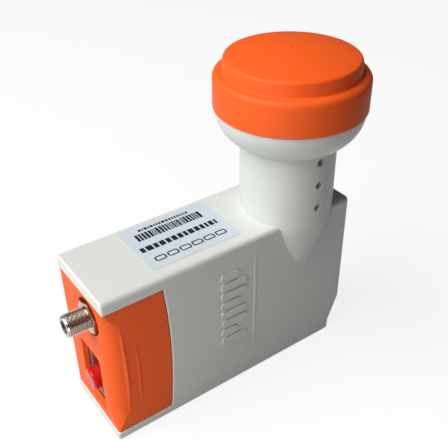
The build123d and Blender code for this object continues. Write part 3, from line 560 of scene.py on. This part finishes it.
def make_dash_tree():
    """A row of dashes of uneven lengths along X, from a corner given by Place."""
    tree, given, result = geometry_tree("dash_row", {
        "Length": FLOAT, "Height": FLOAT, "Thickness": FLOAT, "Shortest": FLOAT, "Longest": FLOAT,
        "Gap": FLOAT, "Count": WHOLE, "Seed": WHOLE, "Place": VECTOR, "Material": MATERIAL})
    width = add_node(tree, "FunctionNodeRandomValue", {
        "Min": given["Shortest"], "Max": given["Longest"], "Seed": given["Seed"]}, out="Value",
        data_type="FLOAT")
    pitch = add_math(tree, "ADD", width, given["Gap"])
    start = add_node(tree, "GeometryNodeAccumulateField", {"Value": pitch}, out="Trailing",
                     data_type="FLOAT", domain="POINT")
    fits = add_math(tree, "LESS_THAN", add_math(tree, "ADD", start, width), given["Length"])
    middle = add_node(tree, "ShaderNodeCombineXYZ", {
        "X": add_math(tree, "ADD", start, add_math(tree, "MULTIPLY", width, 0.5)),
        "Y": add_math(tree, "MULTIPLY", given["Height"], 0.5),
        "Z": add_math(tree, "MULTIPLY", given["Thickness"], 0.5)})
    size = add_node(tree, "ShaderNodeCombineXYZ", {"X": width, "Y": given["Height"], "Z": given["Thickness"]})
    points = add_node(tree, "GeometryNodeMeshLine", {
        "Count": given["Count"], "Offset": (0, 0, 0)}, mode="OFFSET")
    spread = add_node(tree, "GeometryNodeSetPosition", {"Geometry": points, "Position": middle})
    dash = add_node(tree, "GeometryNodeMeshCube", {"Size": (1, 1, 1)})
    dashes = add_node(tree, "GeometryNodeInstanceOnPoints", {
        "Points": spread, "Instance": dash, "Scale": size, "Selection": fits})
    moved = add_node(tree, "GeometryNodeTransform", {"Geometry": dashes, "Translation": given["Place"]})
    close_tree(tree, moved, given["Material"], result)
    return tree


def make_outline_tree():
    """The raised outline of a rounded block, half sunk in the surface that it lies on."""
    tree, given, result = geometry_tree("block_outline", {
        "Width": FLOAT, "Height": FLOAT, "Corner": FLOAT, "Stroke": FLOAT, "Rise": FLOAT, "Place": VECTOR,
        "Material": MATERIAL})
    path = add_block(tree, given["Width"], given["Height"], given["Corner"], BLOCK_STEPS)
    section = add_block(tree, given["Stroke"], add_math(tree, "MULTIPLY", given["Rise"], 2.0),
                        add_math(tree, "MULTIPLY", given["Rise"], STROKE_ROUND), STROKE_STEPS)
    stroke = add_node(tree, "GeometryNodeCurveToMesh", {"Curve": path, "Profile Curve": section})
    moved = add_node(tree, "GeometryNodeTransform", {"Geometry": stroke, "Translation": given["Place"]})
    close_tree(tree, moved, given["Material"], result)
    return tree


def make_bar_tree():
    """A raised bar with rounded corners, half sunk in the surface that it lies on."""
    tree, given, result = geometry_tree("raised_bar", {
        "Width": FLOAT, "Height": FLOAT, "Corner": FLOAT, "Rise": FLOAT, "Turn": VECTOR, "Place": VECTOR,
        "Material": MATERIAL})
    outline = add_block(tree, given["Width"], given["Height"], given["Corner"], BLOCK_STEPS)
    top = add_node(tree, "ShaderNodeCombineXYZ", {"Z": given["Rise"]})
    foot = add_node(tree, "ShaderNodeCombineXYZ", {"Z": add_math(tree, "MULTIPLY", given["Rise"], -1.0)})
    depth = add_node(tree, "GeometryNodeCurvePrimitiveLine", {"Start": foot, "End": top})
    bar = add_node(tree, "GeometryNodeCurveToMesh", {
        "Curve": depth, "Profile Curve": outline, "Fill Caps": True})
    moved = add_node(tree, "GeometryNodeTransform", {
        "Geometry": bar, "Translation": given["Place"], "Rotation": given["Turn"]})
    close_tree(tree, moved, given["Material"], result)
    return tree


def make_screw_tree():
    """One screw at each corner of a rectangle."""
    tree, given, result = geometry_tree("screw_corners", {
        "Screw": OBJECT, "Span X": FLOAT, "Span Y": FLOAT, "Place": VECTOR, "Material": MATERIAL})
    corners = add_node(tree, "GeometryNodeMeshGrid", {
        "Size X": given["Span X"], "Size Y": given["Span Y"], "Vertices X": 2, "Vertices Y": 2})
    moved = add_node(tree, "GeometryNodeTransform", {"Geometry": corners, "Translation": given["Place"]})
    screw = add_node(tree, "GeometryNodeObjectInfo", {"Object": given["Screw"], "As Instance": True},
                     out="Geometry")
    screws = add_node(tree, "GeometryNodeInstanceOnPoints", {"Points": moved, "Instance": screw})
    close_tree(tree, screws, given["Material"], result)
    return tree


# Pieces
def make_smooth_pieces():
    """Copies of the CAD nodes that keep their form."""
    for node in SMOOTH_NODES:
        angle = COVER_ANGLE if node == "end_cover" else SMOOTH_ANGLE
        dress(smooth_copy(node, node + "_finish", angle), node_slots[node], node)


def make_feed_cap():
    """Two-tier cap with a crowned top and the gate mark in its middle."""
    low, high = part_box("feed_cap")
    side = high.x
    foot = low.z
    step = foot + CAP_SKIRT
    tier = side - CAP_STEP
    rim = tier - CAP_TIER_DRAFT
    rim_z = step + CAP_TIER_HEIGHT

    def crown(radius, inset):
        span = rim - inset
        bend = (span ** 2 + CAP_CROWN ** 2) / (2 * CAP_CROWN)
        top = rim_z - inset + CAP_CROWN
        return top - bend + math.sqrt(bend ** 2 - radius ** 2)

    def dome(inset, start, end):
        return [(crown(radius, inset), radius, 0) for radius in spaced(start, end, CROWN_STEPS)]

    outer = [(foot, side - CAP_WALL, 0), (foot, side, CAP_FOOT_ROUND), (step, side, CAP_SHOULDER_ROUND),
             (step, tier, CAP_STEP_ROUND), (rim_z, rim, CAP_TIER_ROUND)]
    outer += dome(0, rim * CAP_DOME, GATE_RADIUS)
    outer += [(crown(GATE_RADIUS, 0) - GATE_DEPTH, GATE_RADIUS, 0), (crown(0, 0) - GATE_DEPTH, 0, 0)]
    inner = dome(CAP_WALL, 0, rim * CAP_INNER_DOME)
    inner += [(rim_z - CAP_WALL, rim - CAP_WALL, CAP_INNER_TIER_ROUND), (step - CAP_WALL, tier - CAP_WALL, 0),
              (step - CAP_WALL, side - CAP_WALL, CAP_INNER_SHOULDER_ROUND)]
    cap = lathe_round("feed_cap_shell", outer + inner, TURN_SEGMENTS, on_neck)
    dress(cap, "orange_plastic", "feed_cap")


def make_head_bell():
    """Flared bell with its lip on the neck and the groove for the cap's seal."""
    low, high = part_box("head_bell")
    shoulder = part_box("feed_cap")[0].z
    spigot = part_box("main_housing")[1].z
    reach = high.x - BELL_LIP_RADIUS
    rise = shoulder - low.z - BELL_LIP
    bend = (reach ** 2 + rise ** 2) / (2 * reach)
    centre = high.x - bend
    rim_inner = BELL_RIM_RADIUS - BELL_RIM_WALL
    groove = shoulder + SEAL_LIFT - SEAL_GROOVE / 2
    groove_top = groove + SEAL_GROOVE
    groove_radius = BELL_RIM_RADIUS - SEAL_DEPTH

    def flare(radius, start, end):
        first = math.acos((start - centre) / radius)
        last = math.acos((end - centre) / radius)
        return [(shoulder - radius * math.sin(angle), centre + radius * math.cos(angle), 0)
                for angle in spaced(first, last, BELL_STEPS)]

    outline = [(low.z, BELL_COLLAR, 0), (low.z, BELL_LIP_RADIUS, BELL_LIP_ROUND)]
    outline += flare(bend, BELL_LIP_RADIUS, high.x)
    outline += [(shoulder, BELL_RIM_RADIUS, 0), (groove, BELL_RIM_RADIUS, 0), (groove, groove_radius, 0),
                (groove_top, groove_radius, 0), (groove_top, BELL_RIM_RADIUS, 0),
                (high.z, BELL_RIM_RADIUS, BELL_LIP_ROUND), (high.z, rim_inner, BELL_LIP_ROUND)]
    outline += flare(bend - BELL_WALL, rim_inner, BELL_LIP_RADIUS)
    outline += [(spigot, BELL_LIP_RADIUS, 0), (spigot, BELL_COLLAR, 0)]
    bell = lathe_round("head_bell_shell", outline, TURN_SEGMENTS, on_neck)
    dress(bell, "white_plastic", "head_bell")


def make_connector():
    """Threaded barrel and chamfered hex in one."""
    low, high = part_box("f_connector_body")
    tip = low.x
    back = high.x
    face = tip + CONNECTOR_REACH
    thread_start = tip + CONNECTOR_CHAMFER
    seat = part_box("f_connector_seal")[0].x
    root = CONNECTOR_RADIUS - THREAD_DEPTH
    flat_radius = HEX_WIDTH / 2
    face_radius = flat_radius * HEX_FACE
    steps = int((face - thread_start) / THREAD_STEP)

    def thread_radius(x, angle):
        phase = (x / THREAD_PITCH - angle / (2 * math.pi)) % 1.0
        crest = clamp((abs(2 * phase - 1) - THREAD_FLAT) / (1 - 2 * THREAD_FLAT))
        start = clamp((x - tip - CONNECTOR_CHAMFER / 2) / THREAD_FADE)
        end = clamp((face - x) / THREAD_FADE)
        return root + THREAD_DEPTH * crest * start * end

    def outline_at(angle):
        swing = (angle - HEX_TURN + SIXTH_TURN / 2) % SIXTH_TURN - SIXTH_TURN / 2
        hex_radius = flat_radius / math.cos(swing)
        slope = (hex_radius - flat_radius) * math.tan(HEX_CHAMFER)
        thread = [(x, thread_radius(x, angle)) for x in spaced(thread_start, face, steps)]
        return [(back, CONNECTOR_BORE), (tip, CONNECTOR_BORE), (tip, CONNECTOR_RADIUS - CONNECTOR_CHAMFER),
                *thread, (face, face_radius), (face + slope, hex_radius), (seat - slope, hex_radius),
                (seat, face_radius), (seat, CONNECTOR_RADIUS), (back, CONNECTOR_RADIUS)]

    barrel = lathe("connector_barrel", outline_at, THREAD_SEGMENTS, about("f_connector_insulator"))
    dress(barrel, "nickel", "f_connector_body")


def make_dust_cap():
    """Soft cap with a dished end and a lip at its mouth."""
    low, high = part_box("dust_cap")
    lip_radius = (high.z - low.z) / 2
    floor = low.x + DUST_CAP_END
    lip = high.x - DUST_CAP_LIP
    corners = [
        (low.x + DUST_CAP_DISH, 0, 0), (low.x, DUST_CAP_DISH_RADIUS, 0),
        (low.x, DUST_CAP_RADIUS, DUST_CAP_ROUND), (lip, DUST_CAP_RADIUS, DUST_CAP_NECK_ROUND),
        (lip, lip_radius, DUST_CAP_LIP_ROUND), (high.x, lip_radius, DUST_CAP_LIP_ROUND),
        (high.x, DUST_CAP_BORE, DUST_CAP_MOUTH_ROUND), (floor, DUST_CAP_BORE, DUST_CAP_FLOOR_ROUND),
        (floor, 0, 0)]
    cap = lathe_round("dust_cap_shell", corners, DUST_CAP_SEGMENTS, about("dust_cap"))
    dress(cap, "red_plastic", "dust_cap")


def make_cross_cutter():
    """Tapered cross that cuts the recess in a screw's head."""
    mouth = -SCREW_HEAD_HEIGHT - CROSS_PAST
    floor = -SCREW_HEAD_HEIGHT + CROSS_DEPTH
    bm = bmesh.new()
    rings = []
    for height, share in ((mouth, 1.0), (floor, CROSS_TAPER)):
        reach = CROSS_REACH * share
        width = CROSS_WIDTH * share
        arm = [(reach, -width), (reach, width), (width, width)]
        half = arm + [(-y, x) for x, y in arm]
        cross = half + [(-x, -y) for x, y in half]
        rings.append([bm.verts.new((x, y, height)) for x, y in cross])
    bridge(bm, *rings)
    for ring in rings:
        bm.faces.new(ring)
    bmesh.ops.recalc_face_normals(bm, faces=bm.faces)
    return object_from_bmesh("cross_cutter", bm)


def make_screw_pattern(length):
    """Pan-head screw that points up from the origin, with a cross recess in its head."""
    corners = [
        (-SCREW_HEAD_HEIGHT, 0, 0), (-SCREW_HEAD_HEIGHT, SCREW_HEAD_RADIUS, SCREW_HEAD_ROUND),
        (0, SCREW_HEAD_RADIUS, SCREW_SEAT_ROUND), (0, SCREW_SHANK_RADIUS, 0),
        (length, SCREW_SHANK_RADIUS, SCREW_TIP_ROUND), (length, 0, 0)]
    screw = lathe_round("screw_pattern", corners, SCREW_SEGMENTS, on_neck)
    cutter = make_cross_cutter()
    cut = screw.modifiers.new("cross", "BOOLEAN")
    cut.operation = "DIFFERENCE"
    cut.solver = "EXACT"
    cut.object = cutter
    apply_modifiers(screw)
    bpy.data.objects.remove(cutter)
    return screw


def make_base_screws():
    """Four screws under the base, one at each corner of their node's box."""
    low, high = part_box("base_screws")
    middle = (low + high) / 2
    pattern = make_screw_pattern(high.z - low.z - SCREW_HEAD_HEIGHT)
    screws = grow("screws_in_place", make_screw_tree(), {
        "Screw": pattern, "Span X": high.x - low.x - 2 * SCREW_HEAD_RADIUS,
        "Span Y": high.y - low.y - 2 * SCREW_HEAD_RADIUS,
        "Place": (middle.x, middle.y, low.z + SCREW_HEAD_HEIGHT), "Material": finishes["screw_steel"]})
    bpy.data.objects.remove(pattern)
    dress(join_pieces("base_screw_set", [screws]), "screw_steel", "base_screws")


def make_label_print():
    """Plain dashes, bars and empty boxes, printed on the label."""
    low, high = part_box("label")
    ink = finishes["print_ink"]
    marks = []
    dash_tree = make_dash_tree()
    for index, ((left, near), dashes) in enumerate(PRINT_ROWS):
        marks.append(grow(f"print_row_{index}", dash_tree, {
            **in_metres(dashes), "Thickness": PRINT_THICKNESS, "Count": PRINT_SUPPLY,
            "Seed": PRINT_SEED + index, "Place": (low.x + left * MM, low.y + near * MM, high.z),
            "Material": ink}))
    outline_tree = make_outline_tree()
    first = (low.x + high.x) / 2 - (PRINT_BOX_COUNT - 1) / 2 * PRINT_BOX_PITCH
    for index in range(PRINT_BOX_COUNT):
        marks.append(grow(f"print_box_{index}", outline_tree, {
            **in_metres(PRINT_BOX), "Rise": PRINT_THICKNESS, "Material": ink,
            "Place": (first + index * PRINT_BOX_PITCH, low.y + PRINT_BOX_NEAR, high.z)}))
    dress(join_pieces("label_print", marks), "label_film", finish="print_ink")


def make_side_relief():
    """Column of plain raised bars on the near side."""
    tree = make_bar_tree()
    bars = []
    for index, width in enumerate(RELIEF_WIDTHS):
        height = RELIEF_LOW + RELIEF_HEIGHT / 2 + index * RELIEF_PITCH
        bars.append(grow(f"relief_{index}", tree, {
            "Width": width * MM, "Height": RELIEF_HEIGHT, "Corner": RELIEF_CORNER, "Rise": RELIEF_RISE,
            "Turn": UPRIGHT, "Place": (RELIEF_LEFT + width * MM / 2, NEAR_SIDE, height),
            "Material": finishes["white_plastic"]}))
    dress(join_pieces("side_relief", bars), "white_plastic")


def make_rib(side, inset, sizes):
    """Fine rib on one side, bowed towards the toe and thinned to nothing at its two ends."""
    rib = in_metres(sizes)
    outward = math.copysign(1, side)
    bm = bmesh.new()
    rings = []
    for share in spaced(0, 1, RIB_STEPS):
        arch = 4 * share * (1 - share)
        swell = math.sqrt(arch)
        middle = rib["x"] - rib["bow"] * (1 - arch)
        height = rib["low"] + (rib["high"] - rib["low"]) * share
        ring = []
        for step in range(2 * RIB_ARC_STEPS):
            turn = math.pi * step / RIB_ARC_STEPS
            across = rib["width"] / 2 * swell * math.cos(turn)
            out = rib["rise"] * swell * math.sin(turn)
            ring.append(bm.verts.new((middle + across, side + outward * (out - inset), height)))
        rings.append(ring)
    for ring, following in zip(rings, rings[1:]):
        bridge(bm, ring, following)
    weld(bm, WELD)
    bmesh.ops.recalc_face_normals(bm, faces=bm.faces)
    return object_from_bmesh("rib", bm)


def make_ribs():
    """Fine ribs on the case and on the end cover, one on each side."""
    case_ribs = [make_rib(side, 0, CASE_RIB) for side in (NEAR_SIDE, FAR_SIDE)]
    dress(join_pieces("case_ribs", case_ribs), "white_plastic")
    cover_ribs = [make_rib(side, COVER_RECESS, COVER_RIB) for side in (NEAR_SIDE, FAR_SIDE)]
    dress(join_pieces("cover_ribs", cover_ribs), "orange_plastic")


# Stage, light and camera
def make_floor():
    """White floor that keeps the object's shadow and sends more light back on the soft side."""
    bpy.ops.mesh.primitive_plane_add(size=FLOOR_SIZE, location=(0, 0, -FLOOR_DROP))
    floor = bpy.context.object
    floor.name = "floor"
    material = bpy.data.materials.new("floor")
    material.use_nodes = True
    tree = material.node_tree
    place = tree.nodes.new("ShaderNodeTexCoord").outputs["Object"]
    path = tree.nodes.new("ShaderNodeLightPath").outputs
    seen = add_math(tree, "MAXIMUM", path["Is Camera Ray"], add_mirrored(tree, path))
    bounce = add_grade(tree, place, SOFT_SIDE, (-FLOOR_FADE, FLOOR_FADE), FLOOR_BOUNCE)
    colour = add_node(tree, "ShaderNodeMix", {"Factor": seen, "A": bounce, "B": WHITE}, out="Result",
                      data_type="RGBA")
    shader = tree.nodes["Principled BSDF"]
    feed(tree, shader, {"Base Color": colour, "Roughness": FLOOR_ROUGHNESS, "Specular IOR Level": 0.0})
    glow = add_node(tree, "ShaderNodeEmission", {"Color": WHITE, "Strength": WHITE_STRENGTH})
    shown = add_node(tree, "ShaderNodeMixShader", {
        "Fac": add_math(tree, "MULTIPLY", seen, 1 - FLOOR_SHADE), 1: shader.outputs[0], 2: glow})
    feed(tree, tree.nodes["Material Output"], {"Surface": shown})
    floor.data.materials.append(material)


def make_world():
    """White behind the object, soft light from one side, and in reflections a room that is bright above."""
    world = bpy.data.worlds.new("studio")
    bpy.context.scene.world = world
    world.use_nodes = True
    tree = world.node_tree
    path = tree.nodes.new("ShaderNodeLightPath").outputs
    direction = tree.nodes.new("ShaderNodeTexCoord").outputs["Generated"]
    around = add_node(tree, "ShaderNodeMix", {
        "Factor": add_mirrored(tree, path),
        "A": add_grade(tree, direction, SOFT_SIDE, SOFT_SPAN, SOFT_LIGHT),
        "B": add_grade(tree, direction, BRIGHT_SIDE, BRIGHT_SPAN, BRIGHT_LIGHT)}, out="Result",
        data_type="FLOAT")
    strength = add_node(tree, "ShaderNodeMix", {
        "Factor": path["Is Camera Ray"], "A": around, "B": WHITE_STRENGTH}, out="Result", data_type="FLOAT")
    feed(tree, tree.nodes["Background"], {"Color": WHITE, "Strength": strength})


def make_light(name, direction, distance, size, power):
    """Round lamp that faces the middle of the object and isn't seen itself."""
    lamp = bpy.data.lights.new(name, "AREA")
    lamp.shape = "DISK"
    lamp.size = size
    lamp.energy = power
    light = link(bpy.data.objects.new(name, lamp))
    light.location = LIGHT_TARGET + direction.normalized() * distance
    light.rotation_euler = direction.to_track_quat("Z", "Y").to_euler()
    light.visible_camera = False


def make_camera():
    """Camera at the photograph's viewing angle."""
    data = bpy.data.cameras.new("camera")
    data.lens = CAMERA_LENS
    data.sensor_width = CAMERA_SENSOR
    data.sensor_fit = "HORIZONTAL"
    data.clip_start = CAMERA_CLIP
    camera = link(bpy.data.objects.new("camera", data))
    right = Vector((math.cos(CAMERA_AZIMUTH), math.sin(CAMERA_AZIMUTH), 0))
    away = Vector((math.sin(CAMERA_AZIMUTH) * math.cos(CAMERA_ELEVATION),
                   -math.cos(CAMERA_AZIMUTH) * math.cos(CAMERA_ELEVATION), math.sin(CAMERA_ELEVATION)))
    up = away.cross(right)
    level = Matrix((right, up, away)).transposed()
    turned = level @ Matrix.Rotation(CAMERA_ROLL, 3, "Z")
    camera.matrix_world = Matrix.Translation(CAMERA_PLACE) @ turned.to_4x4()
    bpy.context.scene.camera = camera


finish_cad_nodes()
make_smooth_pieces()
make_feed_cap()
make_head_bell()
make_connector()
make_dust_cap()
make_base_screws()
make_label_print()
make_side_relief()
make_ribs()

make_floor()
make_world()
make_light("key", KEY_DIRECTION, KEY_DISTANCE, KEY_SIZE, KEY_POWER)
make_light("fill", FILL_DIRECTION, FILL_DISTANCE, FILL_SIZE, FILL_POWER)
make_camera()
bpy.context.scene.view_settings.view_transform = "Standard"
